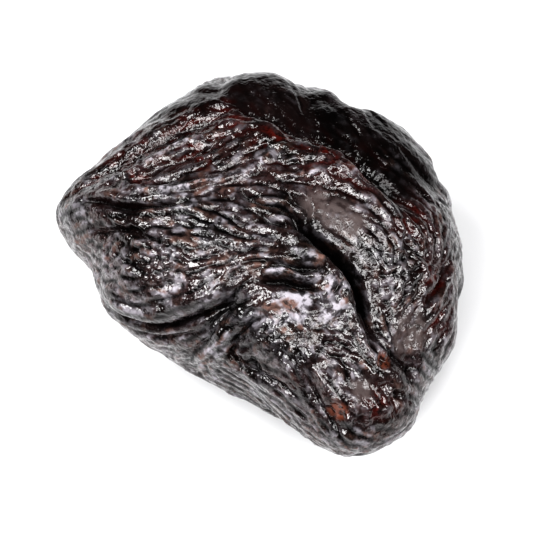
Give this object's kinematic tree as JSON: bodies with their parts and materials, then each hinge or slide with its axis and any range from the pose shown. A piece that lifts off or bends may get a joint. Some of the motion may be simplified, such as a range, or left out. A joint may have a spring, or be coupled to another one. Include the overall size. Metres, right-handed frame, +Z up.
{
  "type": "prune",
  "caption": "Single dried prune: a flattened, deeply folded and finely wrinkled dark fruit that rests on a small flat spot.",
  "frame": {"origin": "middle of the bounding box's bottom, on the surface that the prune rests on", "axes": "+Z up, the flattened thickness; +X along the length, towards the blunt stem end; +Y across the width"},
  "size_m": [0.036, 0.0304, 0.018],
  "materials": {
    "skin": "moist dried plum skin, near-black with brown and dark red, satin gloss with a faint grey-lilac bloom"
  },
  "bodies": {
    "root": {"prune": "skin"}
  },
  "joints": []
}
